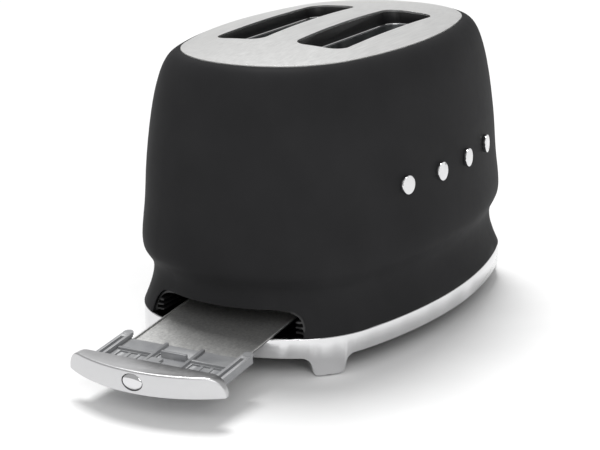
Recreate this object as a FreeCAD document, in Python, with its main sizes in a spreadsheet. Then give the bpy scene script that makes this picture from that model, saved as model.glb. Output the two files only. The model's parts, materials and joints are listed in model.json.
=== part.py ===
"""Two-slot pop-up toaster with its crumb tray drawn out, as an assembly of separate pieces.

Frame: millimetres, +Z up, +X towards the control end. The origin lies on the table, at the centre of
the box around the whole object, so the body's own middle stands at origin_shift along X.
Pieces are laid out from the body's middle and shifted once, by place().
"""
import FreeCAD, Part
import math
import os
import re
import Sketcher

V = FreeCAD.Vector

DIMENSIONS = {
    # painted body: plan outline at the foot of the shell, and at the rim of the top plate
    "body_length": 302.0,
    "body_width": 195.0,
    "body_side_bow": 35.7227,
    "body_end_bow": 59.0711,
    "body_corner_radius": 65.4,
    "plate_setback_length": 28.25,
    "plate_setback_width": 24.35,
    "plate_side_bow": 28.7291,
    "plate_end_bow": 29.3240,
    "plate_corner_radius": 61.2,
    "flank_power": 2.56,
    "flank_lean": 0.14,
    "shell_wall": 1.5,
    "shell_top": 190.1,
    "shell_flange": 5.0,
    # top plate
    "plate_edge": 1.0,
    "plate_crown": 6.2,
    "plate_wall": 1.2,
    "plate_land": 4.0,
    # bread slots
    "slot_length": 136.0,
    "slot_wide": 35.6,
    "slot_gap": 23.6,
    "slot_corner": 10.0,
    "collar_wall": 1.5,
    "collar_foot": 185.0,
    "liner_step": 2.0,
    "liner_wall": 1.0,
    "liner_foot": 160.0,
    # base band and feet
    "band_top": 25.65,
    "band_foot": 12.84,
    "band_wall": 2.5,
    "band_round": 0.8,
    "leg_angle": 48.0,
    "leg_top_wide": 26.0,
    "leg_foot_wide": 18.5,
    "leg_depth": 12.0,
    "leg_hollow": 7.0,
    "leg_round": 2.5,
    "pad_radius": 4.5,
    "pad_thick": 1.0,
    # base pan
    "pan_gap": 0.2,
    "pan_foot": 14.5,
    "pan_thick": 2.0,
    # heating chamber
    "chamber_length": 151.0,
    "chamber_width": 114.0,
    "chamber_top": 170.0,
    "chamber_foot": 60.0,
    "sheet_thick": 1.0,
    "tunnel_wide": 97.0,
    "tunnel_top": 46.5,
    "board_thick": 1.2,
    "board_foot": 62.0,
    "board_top": 166.0,
    "outer_board": 52.0,
    "ribbon_thick": 0.3,
    "ribbon_wide": 3.0,
    "ribbon_length": 130.0,
    "ribbon_pitch": 10.0,
    "ribbon_rows": 9,
    # bread guides
    "wire_radius": 1.0,
    "guide_rows": 9,
    "guide_pitch": 16.0,
    "guide_foot": 72.0,
    "guide_top": 154.0,
    "guide_open": 16.6,
    "guide_close": 7.0,
    "guide_play": 0.3,
    # bread lift
    "lift_travel": 70.0,
    "rack_height": 136.0,
    "rack_wide": 13.0,
    "rack_thick": 2.0,
    "rack_rungs": 8,
    "tongue_wide": 3.0,
    "tongue_high": 8.0,
    "tongue_play": 0.4,
    "carriage_face": 82.0,
    "carriage_depth": 14.0,
    "carriage_width": 74.0,
    "carriage_foot": 130.0,
    "carriage_high": 18.0,
    "rod_radius": 2.5,
    "rod_play": 0.08,
    "rod_spread": 24.0,
    "rod_foot": 34.0,
    "rod_top": 166.0,
    "bracket_thick": 4.0,
    "spring_radius": 3.5,
    "spring_wire": 0.5,
    "spring_turns": 8,
    "spring_x": 101.0,
    # lever
    "lever_thick": 2.5,
    "lever_high": 9.0,
    "lever_height": 148.0,
    "lever_slot_wide": 4.5,
    "lever_slot_foot": 71.0,
    "lever_slot_top": 155.0,
    "trim_wide": 13.0,
    "trim_proud": 1.0,
    "knob_gap": 1.0,
    "knob_depth": 11.0,
    "lever_knob_radius": 11.0,
    # controls
    "board_inset": 27.0,
    "board_wide": 84.0,
    "control_board_top": 140.0,
    "control_board_thick": 1.6,
    "board_slot_wide": 10.0,
    "browning_height": 47.0,
    "browning_radius": 15.5,
    "browning_depth": 10.0,
    "browning_gap": 2.8,
    "bezel_radius": 18.5,
    "bezel_proud": 1.5,
    "grip_notches": 12,
    "shaft_radius": 3.0,
    "shaft_clear": 6.0,
    "shaft_play": 0.08,
    "button_radius": 5.0,
    "button_play": 0.4,
    "button_ring": 2.2,
    "button_proud": 3.0,
    "button_side": 24.0,
    "button_low": 96.0,
    "button_high": 122.0,
    "button_stroke": 2.5,
    "button_inside": 5.0,
    "cap_round": 1.0,
    "stem_radius": 2.0,
    "switch_size": 7.0,
    "switch_depth": 5.0,
    # plain studs on the side
    "stud_radius": 6.0,
    "stud_proud": 2.5,
    "stud_pitch": 40.0,
    "stud_height": 110.0,
    # catch magnet
    "magnet_wide": 12.0,
    "magnet_y": 28.0,
    "magnet_gap": 0.3,
    "catch_thick": 3.0,
    # mains inlet
    "inlet_radius": 6.0,
    "inlet_x": 98.0,
    "inlet_y": -58.0,
    "terminal_y": 46.0,
    "terminal_length": 26.0,
    "terminal_width": 16.0,
    "terminal_high": 14.0,
    # crumb tray: drawn out along its sloping guides
    "tray_slope": 6.0,
    "tray_draw": 90.5,
    "sill_gap": 0.35,
    "mouth_half": 55.8,
    "mouth_top": 41.8,
    "mouth_corner": 13.0,
    "fascia_play": 0.5,
    "fascia_high": 14.0,
    "fascia_depth": 18.5,
    "fascia_corner": 11.0,
    "fascia_round": 1.2,
    "tray_half": 39.5,
    "tray_floor": 0.4,
    "tray_sheet": 0.8,
    "tray_wall_high": 1.2,
    "tray_roll": 0.7,
    "tray_front": 55.0,
    "tray_back": 221.0,
    "tray_overlap": 4.0,
    "carrier_back": 61.0,
    "window_floor": 0.6,
    "window_side": 15.5,
    "window_wide": 21.0,
    "arm_outer": 46.5,
    "arm_wide": 6.5,
    "arm_high": 4.8,
    "guide_start": 65.5,
    "guide_outer": 44.5,
    "guide_grip": 3.2,
    "guide_lip": 2.0,
    "tray_play": 0.4,
    "release_long": 14.0,
    "release_high": 9.8,
    "release_play": 0.4,
    "release_deep": 6.0,
    "release_stroke": 3.0,
    "release_proud": 0.8,
    "latch_thick": 2.4,
    "latch_gap": 1.5,
    "lining_gap": 0.3,
    "screw_front": 62.0,
    "screw_rear": 52.0,
    "screw_grip": 7.0,
    "screw_radius": 1.5,
    "screw_head": 3.2,
    "screw_head_high": 1.8,
}

# Holes through a wall are cut this far, which passes right through it.
THROUGH = "60"


def bowed_radius(chord, bow):
    """The radius of an arc that stands this far out from its chord."""
    return round(chord ** 2 / (8 * bow) + bow / 2, 3)


# The plate's rim is set in from the body's foot all round.
for chord_part in ("length", "width"):
    setback = DIMENSIONS[f"plate_setback_{chord_part}"]
    DIMENSIONS[f"plate_{chord_part}"] = round(DIMENSIONS[f"body_{chord_part}"] - 2 * setback, 3)

# A side or end keeps its bow when the body or the plate is made longer or wider.
for outline_part in ("body", "plate"):
    for face, chord_part in (("side", "length"), ("end", "width")):
        chord = DIMENSIONS[f"{outline_part}_{chord_part}"]
        bow = DIMENSIONS[f"{outline_part}_{face}_bow"]
        DIMENSIONS[f"{outline_part}_{face}_radius"] = bowed_radius(chord, bow)

# The lever's knob stands off the control end's wall, and the control board behind it.
DIMENSIONS["knob_back"] = DIMENSIONS["body_length"] / 2 + DIMENSIONS["knob_gap"]
DIMENSIONS["board_x"] = DIMENSIONS["body_length"] / 2 - DIMENSIONS["board_inset"]

# The box around the whole object runs from the drawn-out fascia to the lever knob.
slope = math.radians(DIMENSIONS["tray_slope"])
drawn_out = DIMENSIONS["tray_draw"] * math.cos(slope)
reach_front = DIMENSIONS["body_length"] / 2 + drawn_out + DIMENSIONS["release_proud"]
reach_rear = DIMENSIONS["knob_back"] + DIMENSIONS["knob_depth"]
DIMENSIONS["origin_shift"] = round((reach_front - reach_rear) / 2, 3)

doc = FreeCAD.newDocument("toaster")
sheet = doc.addObject("Spreadsheet::Sheet", "Dim")
for row, (alias, value) in enumerate(DIMENSIONS.items(), start=1):
    sheet.set(f"A{row}", alias)
    sheet.set(f"B{row}", str(value))
    sheet.setAlias(f"B{row}", alias)
doc.recompute()


def dim(alias):
    """A driving dimension, read back from the sheet."""
    return float(getattr(sheet, alias))


def bound(formula):
    """A formula in plain words, with each dimension's name tied to its cell in the sheet."""
    return re.sub(r"[a-z_]+", lambda word: f"Dim.{word[0]}" if word[0] in DIMENSIONS else word[0],
                  str(formula))


def put(piece, x="0", y="0", z="0"):
    """Ties a piece's position to the sheet."""
    for axis, formula in zip("xyz", (x, y, z)):
        piece.setExpression(f".Placement.Base.{axis}", bound(formula))
    return piece


def box(name, x, y, z, length, width, height):
    """A block with its lowest corner at x, y, z."""
    piece = doc.addObject("Part::Box", name)
    piece.setExpression("Length", bound(length))
    piece.setExpression("Width", bound(width))
    piece.setExpression("Height", bound(height))
    return put(piece, x, y, z)


def rod(name, x, y, z, radius, length, along="z"):
    """A cylinder that starts at x, y, z and runs along an axis."""
    piece = doc.addObject("Part::Cylinder", name)
    piece.setExpression("Radius", bound(radius))
    piece.setExpression("Height", bound(length))
    turn = {"z": (V(0, 0, 1), 0), "x": (V(0, 1, 0), 90), "y": (V(1, 0, 0), -90)}[along]
    piece.Placement.Rotation = FreeCAD.Rotation(*turn)
    return put(piece, x, y, z)


def fuse(name, *pieces):
    """Pieces joined, or kept side by side where they don't touch."""
    if len(pieces) == 1:
        return pieces[0]
    result = doc.addObject("Part::MultiFuse", name)
    result.Shapes = list(pieces)
    return result


def cut(name, base, *tools):
    """A piece with one or more tools taken out of it."""
    for index, tool in enumerate(tools):
        result = doc.addObject("Part::Cut", name if index == len(tools) - 1 else f"{name}_{index}")
        result.Base = base
        result.Tool = tool
        base = result
    return base


def common(name, *pieces):
    """The space that all the pieces share."""
    result = doc.addObject("Part::MultiCommon", name)
    result.Shapes = list(pieces)
    return result


def made(name, shape):
    """A shape worked out in code from the sheet's values."""
    piece = doc.addObject("Part::Feature", name)
    piece.Shape = shape
    return piece


nodes = []


def place(piece, label, x="0", y="0", z="0"):
    """Names a finished piece and shifts it into the object's frame."""
    piece.Label = label
    own = dict(piece.ExpressionEngine)
    for axis, moved in zip("xyz", (f"{x} + origin_shift", y, z)):
        path = f".Placement.Base.{axis}"
        piece.setExpression(path, f"{own.get(path, '0')} + {bound(moved)}")
    nodes.append(piece)
    return piece


# ---------------------------------------------------------------- outlines and the body's envelope

def outline(half_long, half_wide, side_r, end_r, corner_r, z):
    """A wire of eight tangent arcs: two bowed sides, two bowed ends, four corners."""
    side = V(0, half_wide - side_r, 0)
    end = V(half_long - end_r, 0, 0)
    apart = (end - side).Length
    along = ((side_r - corner_r) ** 2 - (end_r - corner_r) ** 2 + apart ** 2) / (2 * apart)
    across = math.sqrt((side_r - corner_r) ** 2 - along ** 2)
    unit = (end - side).normalize()
    corner = side + unit * along + V(unit.y, -unit.x, 0) * across
    turn_end = math.atan2(corner.y - end.y, corner.x - end.x)
    turn_side = math.atan2(corner.y - side.y, corner.x - side.x)

    def point(centre, radius, angle, flip_x, flip_y):
        return V(flip_x * (centre.x + radius * math.cos(angle)),
                 flip_y * (centre.y + radius * math.sin(angle)), z)

    def arc(centre, radius, start, stop, flip_x, flip_y):
        points = [point(centre, radius, start + (stop - start) * share, flip_x, flip_y)
                  for share in (0, 0.5, 1)]
        if flip_x * flip_y < 0:
            points.reverse()
        return Part.Arc(*points).toShape()

    edges = []
    for flip in (1, -1):
        edges.append(arc(end, end_r, -turn_end, turn_end, flip, flip))
        edges.append(arc(corner, corner_r, turn_end, turn_side, flip, flip))
        edges.append(arc(side, side_r, turn_side, math.pi - turn_side, flip, flip))
        edges.append(arc(corner, corner_r, turn_end, turn_side, -flip, flip))
    return Part.Wire(edges), corner


OUTLINE_PARTS = ("length", "width", "side_radius", "end_radius", "corner_radius")
HALVES = (0.5, 0.5, 1, 1, 1)


def outline_at(share, inset, z):
    """The body's plan: share 0 is its foot, share 1 is the rim of the top plate."""
    sizes = []
    for part, half in zip(OUTLINE_PARTS, HALVES):
        foot = dim("body_" + part) * half
        rim = dim("plate_" + part) * half
        sizes.append(foot + (rim - foot) * share - inset)
    return outline(*sizes, z)


def flank(height_share):
    """How far the flank has come in, from 0 at its foot to 1 at the rim."""
    power = dim("flank_power")
    bow = 1 - (1 - height_share ** power) ** (1 / power)
    return dim("flank_lean") * height_share + (1 - dim("flank_lean")) * bow


def envelope(inset, top):
    """The body's solid, from the band's top edge to a height, drawn in by inset."""
    steps = 10
    wires = []
    for step in range(steps + 1):
        share = math.sin(step / steps * math.pi / 2) ** (2 / dim("flank_power"))
        z = dim("band_top") + (top - dim("band_top")) * share
        wires.append(outline_at(flank(share), inset, z)[0])
    return Part.makeLoft(wires, True, False)


def prism(share, inset, foot, top):
    """An upright solid on the body's plan."""
    return Part.Face(outline_at(share, inset, foot)[0]).extrude(V(0, 0, top - foot))


def rounded_rim(foot, radius):
    """A quarter-round edge on the body's foot plan, from its widest point up."""
    wires = []
    for step in range(5):
        turn = step / 4 * math.pi / 2
        wires.append(outline_at(0, radius * (1 - math.cos(turn)), foot + radius * math.sin(turn))[0])
    return Part.makeLoft(wires, True, True)


def dome(inset, foot, crown):
    """A low dome on the top plate's plan."""
    wires = []
    for share in (1.0, 0.85, 0.68, 0.5, 0.32, 0.16, 0.05):
        sizes = [dim("plate_" + part) * half - inset for part, half in zip(OUTLINE_PARTS, HALVES)]
        wires.append(outline(*[size * share for size in sizes], foot + crown * (1 - share ** 2))[0])
    return Part.makeLoft(wires, True, False)


def wall_x(y, z, inset=0.0):
    """Where the control end's wall stands at a point of its face."""
    share = (z - dim("band_top")) / (dim("shell_top") - dim("band_top"))
    come_in = flank(share)
    half_long = dim("body_length") / 2 + (dim("plate_length") - dim("body_length")) / 2 * come_in - inset
    end_r = dim("body_end_radius") + (dim("plate_end_radius") - dim("body_end_radius")) * come_in - inset
    return half_long - end_r + math.sqrt(end_r ** 2 - y ** 2)


body_solid = made("body_solid", envelope(0, dim("shell_top")))


def skin(name, proud):
    """The body's envelope, grown outwards, that trims are shaped from."""
    return made(name, envelope(-proud, dim("shell_top") + proud))


def on_skin(name, proud, blank, *holes):
    """A trim that follows the body's surface and stands proud of it."""
    grown = common(name + "_grown", skin(name + "_skin", proud), blank)
    return cut(name, grown, body_solid, *holes)


# ---------------------------------------------------------------- outer body

def slot_block(name, side, grow, foot, top):
    """A bread slot's outline as a block with rounded corners, grown by an allowance."""
    y = f"{side} * (slot_gap + slot_wide) / 2"
    base = box(name + "_block", f"-slot_length / 2 - ({grow})", f"{y} - slot_wide / 2 - ({grow})", foot,
               f"slot_length + 2 * ({grow})", f"slot_wide + 2 * ({grow})", f"{top} - ({foot})")
    base.recompute()
    rounded = doc.addObject("Part::Fillet", name)
    rounded.Base = base
    radius = dim("slot_corner")
    rounded.Edges = [(1 + index, radius, radius) for index, edge in enumerate(base.Shape.Edges)
                     if edge.BoundBox.ZLength > 0.1]
    return rounded


def mouth_block(name, allowance, x, length):
    """The tray mouth's arch: open at the foot, with rounded upper corners."""
    half = dim("mouth_half") - allowance
    top = dim("mouth_top") - allowance
    corner = dim("mouth_corner") - allowance
    foot = dim("band_top")
    slant = corner * (1 - math.sqrt(0.5))
    left = [V(x, -half, foot), V(x, -half, top - corner), V(x, -half + slant, top - slant),
            V(x, -half + corner, top)]
    right = [V(x, -point.y, point.z) for point in reversed(left)]
    edges = [Part.makeLine(left[0], left[1]), Part.Arc(*left[1:4]).toShape(),
             Part.makeLine(left[3], right[0]),
             Part.Arc(*right[0:3]).toShape(), Part.makeLine(right[2], right[3]),
             Part.makeLine(right[3], left[0])]
    return made(name, Part.Face(Part.Wire(edges)).extrude(V(length, 0, 0)))


BUTTONS = {"stop": (1, "high"), "reheat": (1, "low"), "defrost": (-1, "high"), "bagel": (-1, "low")}


def button_spot(name):
    side, level = BUTTONS[name]
    return side * dim("button_side"), dim("button_" + level)


def outer_shell():
    cavity = made("shell_cavity", envelope(dim("shell_wall"), dim("shell_top") - dim("shell_wall")))
    opening = made("shell_opening", prism(1, dim("shell_flange"), dim("shell_top") - 20,
                                          dim("shell_top") + 5))
    mouth = mouth_block("shell_mouth", 0, -dim("body_length") / 2 - 2, 40)
    lever = box("shell_lever_slot", "board_x", "-lever_slot_wide / 2", "lever_slot_foot", THROUGH,
                "lever_slot_wide", "lever_slot_top - lever_slot_foot")
    knob = rod("shell_knob_hole", "board_x + 6", "0", "browning_height", "shaft_clear", THROUGH, "x")
    holes = []
    for name in BUTTONS:
        y, z = button_spot(name)
        holes.append(rod(f"shell_{name}_hole", "board_x + 6", y, z, "button_radius + button_play", THROUGH,
                         "x"))
    place(cut("outer_shell_cut", body_solid, cavity, opening, mouth, lever, knob, *holes), "outer_shell")


def top_plate():
    rim = dim("shell_top") + dim("plate_edge")
    edge = made("plate_rim", prism(1, 0, dim("shell_top"), rim))
    crown = made("plate_dome", dome(0, rim, dim("plate_crown")))
    lift = dim("plate_edge") + dim("plate_crown") - dim("plate_wall")
    under = made("plate_under", dome(dim("plate_land"), dim("shell_top"), lift))
    slots = [slot_block(f"plate_slot_{word}", side, "0", "shell_top - 5", "shell_top + 20")
             for word, side in (("left", 1), ("right", -1))]
    place(cut("top_plate_cut", fuse("plate_blank", edge, crown), under, *slots), "top_plate")
    below = box("under_plate_space", "-plate_length / 2", "-plate_width / 2", "shell_top - 40",
                "plate_length", "plate_width", "40")
    return fuse("plate_hollow", under, below)


def slot_collar(word, side, hollow):
    """The dark collar under each slot, its top shaped to the plate's underside."""
    outer = slot_block(f"collar_outer_{word}", side, "collar_wall", "collar_foot", "shell_top + 10")
    inner = slot_block(f"collar_inner_{word}", side, "0", "collar_foot - 5", "shell_top + 15")
    tube = cut(f"collar_tube_{word}", outer, inner)
    place(common(f"slot_collar_{word}_common", tube, hollow), f"slot_collar_{word}")


def slot_liner(word, side):
    """The steel throat under each collar, with a bright rolled top edge."""
    flange = slot_block(f"liner_flange_{word}", side, "collar_wall", "collar_foot - liner_wall",
                        "collar_foot")
    tube = slot_block(f"liner_tube_{word}", side, "liner_wall - liner_step", "liner_foot",
                      "collar_foot - liner_wall")
    bore = slot_block(f"liner_bore_{word}", side, "-liner_step", "liner_foot - 5", "collar_foot + 5")
    place(cut(f"slot_liner_{word}_cut", fuse(f"liner_blank_{word}", flange, tube), bore),
          f"slot_liner_{word}")


def base_band():
    foot = dim("band_foot")
    top = dim("band_top")
    ring = prism(0, 0, foot, top - dim("band_round")).fuse(rounded_rim(top - dim("band_round"),
                                                                       dim("band_round")))
    ring = ring.cut(prism(0, dim("band_wall"), foot - 1, top + 1))
    corner = outline_at(0, 0, 0)[1]
    slab = prism(0, 0, 0, top - dim("band_round")).cut(prism(0, dim("leg_depth"), -1, top + 1))
    legs = []
    for flip_x in (1, -1):
        for flip_y in (1, -1):
            legs.append(leg_block(corner, flip_x, flip_y).common(slab))
    place(made("base_band_solid", ring.multiFuse(legs).removeSplitter()), "base_band")


def leg_block(corner, flip_x, flip_y):
    """A leg's profile, hollowed where it meets the band and rounded at its foot, as a block."""
    wide = dim("leg_top_wide") / 2
    foot_wide = dim("leg_foot_wide") / 2
    under = dim("band_foot")
    foot = dim("pad_thick")
    reach = wide + dim("leg_hollow") + 1
    profile = [(-reach, under + 1), (-reach, under), (-wide, under), (-foot_wide, foot),
               (foot_wide, foot), (wide, under), (reach, under), (reach, under + 1)]
    start = dim("body_corner_radius") - dim("leg_depth") - 8
    wire = Part.makePolygon([V(start, across, up) for across, up in profile + profile[:1]])
    block = Part.Face(wire).extrude(V(dim("leg_depth") + 14, 0, 0))
    hollows = [edge for edge in block.Edges if runs_out(edge, wide, under)]
    block = block.makeFillet(dim("leg_hollow"), hollows)
    rounds = [edge for edge in block.Edges if runs_out(edge, foot_wide, foot)]
    block = block.makeFillet(dim("leg_round"), rounds)
    angle = math.degrees(math.atan2(flip_y * math.sin(math.radians(dim("leg_angle"))),
                                    flip_x * math.cos(math.radians(dim("leg_angle")))))
    block.rotate(V(0, 0, 0), V(0, 0, 1), angle)
    block.translate(V(flip_x * corner.x, flip_y * corner.y, 0))
    return block


def runs_out(edge, across, up):
    """True for a leg block's edge that runs outwards at this place of its profile."""
    middle = edge.BoundBox.Center
    return edge.BoundBox.XLength > 5 and abs(abs(middle.y) - across) < 0.01 and abs(middle.z - up) < 0.01


def foot_pads():
    corner = outline_at(0, 0, 0)[1]
    reach = dim("body_corner_radius") - dim("leg_depth") / 2
    angle = math.radians(dim("leg_angle"))
    pads = []
    for word, flip_x, flip_y in (("a", 1, 1), ("b", -1, 1), ("c", -1, -1), ("d", 1, -1)):
        x = flip_x * (corner.x + reach * math.cos(angle))
        y = flip_y * (corner.y + reach * math.sin(angle))
        pads.append(rod(f"pad_{word}", x, y, "0", "pad_radius", "pad_thick"))
    place(fuse("foot_pads_all", *pads), "foot_pads")


SCREW_SPOTS = [(x, side) for x in (-DIMENSIONS["screw_front"], DIMENSIONS["screw_rear"]) for side in (-1, 1)]


def bottom_pan():
    foot = dim("pan_foot")
    sheet_solid = made("pan_sheet", prism(0, dim("band_wall") + dim("pan_gap"), foot,
                                          foot + dim("pan_thick")))
    holes = [rod("pan_inlet", "inlet_x", "inlet_y", "pan_foot - 1", "inlet_radius", "pan_thick + 2")]
    for index, (x, side) in enumerate(SCREW_SPOTS):
        holes.append(rod(f"pan_hole_{index}", x, f"{side} * (guide_outer - 4)", "pan_foot - 1",
                         "screw_radius + 0.2", "pan_thick + 2"))
    for index in range(7):
        for side in (-1, 1):
            holes.append(box(f"pan_vent_{index}_{'ab'[side > 0]}", f"-50 + {index} * 16", f"{side} * 17 - 12",
                             "pan_foot - 1", "5", "24", "pan_thick + 2"))
    place(cut("bottom_pan_cut", sheet_solid, *holes), "bottom_pan")


def base_screws():
    pieces = []
    for index, (x, side) in enumerate(SCREW_SPOTS):
        y = f"{side} * (guide_outer - 4)"
        head = rod(f"screw_head_{index}", x, y, "pan_foot - screw_head_high", "screw_head", "screw_head_high")
        shank = rod(f"screw_shank_{index}", x, y, "pan_foot", "screw_radius", "pan_thick + screw_grip")
        slot = box(f"screw_slot_{index}", f"{x} - screw_head", f"{y} - 0.4", "pan_foot - screw_head_high",
                   "2 * screw_head", "0.8", "0.8")
        pieces.append(cut(f"screw_{index}", fuse(f"screw_blank_{index}", head, shank), slot))
    place(fuse("base_screws_all", *pieces), "base_screws")


# ---------------------------------------------------------------- sketched pieces

def sketch_on(body, role, name):
    sketch = body.newObject("Sketcher::SketchObject", name)
    plane = [feature for feature in body.Origin.OriginFeatures if feature.Role == role][0]
    sketch.AttachmentSupport = [(plane, "")]
    sketch.MapMode = "FlatFace"
    return sketch


def rectangle(sketch, left, low, wide, high):
    """A rectangle in a sketch, its corner and sizes tied to the sheet."""
    start = sketch.GeometryCount
    corners = [V(0, 0, 0), V(10, 0, 0), V(10, 10, 0), V(0, 10, 0)]
    for index in range(4):
        sketch.addGeometry(Part.LineSegment(corners[index], corners[(index + 1) % 4]))
    for index in range(4):
        sketch.addConstraint(Sketcher.Constraint("Coincident", start + index, 2, start + (index + 1) % 4, 1))
    for index, kind in enumerate(("Horizontal", "Vertical", "Horizontal", "Vertical")):
        sketch.addConstraint(Sketcher.Constraint(kind, start + index))
    for kind, first, second, formula in (("DistanceX", (start, 1), (start, 2), wide),
                                         ("DistanceY", (start + 1, 1), (start + 1, 2), high),
                                         ("DistanceX", (-1, 1), (start, 1), left),
                                         ("DistanceY", (-1, 1), (start, 1), low)):
        key = sketch.addConstraint(Sketcher.Constraint(kind, *first, *second, 10.0))
        sketch.setExpression(f"Constraints[{key}]", bound(formula))


def pad(body, sketch, length):
    feature = body.newObject("PartDesign::Pad", sketch.Name + "_pad")
    feature.Profile = sketch
    feature.setExpression("Length", bound(length))
    return feature


def pocket(body, sketch, length):
    """A pocket cut both ways from its sketch, so that it always reaches the solid."""
    feature = body.newObject("PartDesign::Pocket", sketch.Name + "_pocket")
    feature.Profile = sketch
    feature.Midplane = True
    feature.setExpression("Length", bound(length))
    return feature


def chassis_plate(word, side):
    """An end wall of the heating chamber, with the tray tunnel, the lift slots and the guides' slots."""
    body = doc.addObject("PartDesign::Body", f"chassis_plate_{word}_body")
    wall = sketch_on(body, "YZ_Plane", f"chassis_{word}_wall")
    rectangle(wall, "-chamber_width / 2", "pan_foot + pan_thick", "chamber_width",
              "chamber_top - pan_foot - pan_thick")
    pad(body, wall, "sheet_thick")
    body.recompute(True)
    full = body.Shape.Volume
    holes = sketch_on(body, "YZ_Plane", f"chassis_{word}_holes")
    rectangle(holes, "-tunnel_wide / 2", "pan_foot", "tunnel_wide", "tunnel_top - pan_foot")
    middle = "(slot_gap + slot_wide) / 2"
    for row in (-1, 1):
        rectangle(holes, f"{row} * {middle} - tongue_wide / 2 - tongue_play", "rack_height - lift_travel - 4",
                  "tongue_wide + 2 * tongue_play", "lift_travel + tongue_high + 8")
        for hand in (-1, 1):
            inner = f"{row} * {middle} + {hand} * (guide_open - guide_close / 2)"
            for level in ("guide_foot", "guide_top"):
                rectangle(holes, f"{inner} - guide_close / 2 - wire_radius - guide_play",
                          f"{level} - wire_radius - guide_play",
                          "guide_close + 2 * wire_radius + 2 * guide_play",
                          "2 * wire_radius + 2 * guide_play")
    pocket(body, holes, "4 * sheet_thick")
    body.recompute(True)
    if body.Shape.Volume > full - 1:
        raise RuntimeError("the holes of the chassis plate cut nothing")
    start = "chamber_length / 2" if side > 0 else "-chamber_length / 2 - sheet_thick"
    place(body, f"chassis_plate_{word}", x=start)


def control_board():
    body = doc.addObject("PartDesign::Body", "control_board_body")
    face = sketch_on(body, "YZ_Plane", "control_board_face")
    rectangle(face, "-board_wide / 2", "pan_foot + pan_thick", "board_wide",
              "control_board_top - pan_foot - pan_thick")
    pad(body, face, "control_board_thick")
    gap = sketch_on(body, "YZ_Plane", "control_board_slot")
    rectangle(gap, "-board_slot_wide / 2", "lever_slot_foot - 6", "board_slot_wide", "control_board_top")
    pocket(body, gap, "4 * control_board_thick")
    place(body, "control_board", x="board_x")


def turned(body_name, sketch_name, points):
    """A body turned about the X axis from a half profile of (along, radius) points."""
    body = doc.addObject("PartDesign::Body", body_name)
    sketch = sketch_on(body, "XY_Plane", sketch_name)
    count = len(points)
    for index in range(count):
        first = V(0.5 * index, 0.5, 0)
        sketch.addGeometry(Part.LineSegment(first, first + V(1, 1 + index, 0)))
    for index in range(count):
        sketch.addConstraint(Sketcher.Constraint("Coincident", index, 2, (index + 1) % count, 1))
    for index, (along, radius) in enumerate(points):
        for kind, formula in (("DistanceX", along), ("DistanceY", radius)):
            key = sketch.addConstraint(Sketcher.Constraint(kind, -1, 1, index, 1, 1.0))
            sketch.setExpression(f"Constraints[{key}]", bound(formula))
    feature = body.newObject("PartDesign::Revolution", sketch_name + "_turn")
    feature.Profile = sketch
    feature.ReferenceAxis = (sketch, ["H_Axis"])
    feature.Angle = 360
    return body, feature


def browning_knob():
    back = f"({wall_x(0, dim('browning_height')):.4f} + browning_gap)"
    body, _ = turned("browning_knob_body", "browning_profile",
                        [("0", "0"), ("0", "browning_radius - 2"), ("3", "browning_radius"),
                         ("browning_depth - 3", "browning_radius"),
                         ("browning_depth - 1", "browning_radius - 1"),
                         ("browning_depth", "browning_radius - 3"), ("browning_depth", "0")])
    notch = sketch_on(body, "YZ_Plane", "grip_notch")
    rectangle(notch, "-0.6", "browning_radius - 0.8", "1.2", "4")
    groove = pocket(body, notch, "2 * browning_depth - 8")
    pattern = body.newObject("PartDesign::PolarPattern", "grip_pattern")
    pattern.Originals = [groove]
    pattern.Axis = ([f for f in body.Origin.OriginFeatures if f.Role == "X_Axis"][0], [""])
    pattern.Angle = 360
    pattern.setExpression("Occurrences", bound("grip_notches"))
    body.Tip = pattern
    bore = sketch_on(body, "YZ_Plane", "shaft_bore")
    circle = bore.addGeometry(Part.Circle(V(0, 0, 0), V(0, 0, 1), 3.0))
    bore.addConstraint(Sketcher.Constraint("Coincident", circle, 3, -1, 1))
    key = bore.addConstraint(Sketcher.Constraint("Radius", circle, 3.0))
    bore.setExpression(f"Constraints[{key}]", bound("shaft_radius"))
    pocket(body, bore, "browning_depth")
    place(body, "browning_knob", x=back, z="browning_height")


def lever_knob():
    body, _ = turned("lever_knob_body", "lever_knob_profile",
                     [("0", "0"), ("0", "lever_knob_radius * 0.55"), ("2.5", "lever_knob_radius * 0.6"),
                      ("4.5", "lever_knob_radius"), ("knob_depth - 3", "lever_knob_radius"),
                      ("knob_depth - 1", "lever_knob_radius - 1.2"),
                      ("knob_depth", "lever_knob_radius - 3.5"),
                      ("knob_depth", "0")])
    seat = sketch_on(body, "YZ_Plane", "lever_seat")
    rectangle(seat, "-lever_thick / 2", "-lever_high / 2", "lever_thick", "lever_high")
    pocket(body, seat, "8")
    place(body, "lever_knob", x="knob_back", z="lever_height")


# ---------------------------------------------------------------- heating chamber

def heat_shield(word, side):
    y = "chamber_width / 2 - sheet_thick" if side > 0 else "-chamber_width / 2"
    sheet_box = box(f"shield_{word}", "-chamber_length / 2", y, "chamber_foot", "chamber_length",
                    "sheet_thick", "chamber_top - chamber_foot")
    vents = [box(f"shield_vent_{word}_{row}", f"-60 + {row} * 20", f"{y} - 1", "chamber_foot + 30", "8",
                 "sheet_thick + 2", "50") for row in range(7)]
    place(cut(f"heat_shield_{word}_cut", sheet_box, *vents), f"heat_shield_{word}")


def upper_frame():
    """The sheet that closes the chamber's top, with an opening round each slot liner."""
    top = box("upper_sheet", "-chamber_length / 2 - sheet_thick", "-chamber_width / 2", "chamber_top",
              "chamber_length + 2 * sheet_thick", "chamber_width", "sheet_thick")
    holes = [slot_block(f"upper_hole_{word}", side, "liner_wall - liner_step + 0.15", "chamber_top - 5",
                        "chamber_top + 5") for word, side in (("left", 1), ("right", -1))]
    place(cut("upper_frame_cut", top, *holes), "upper_frame")


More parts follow.
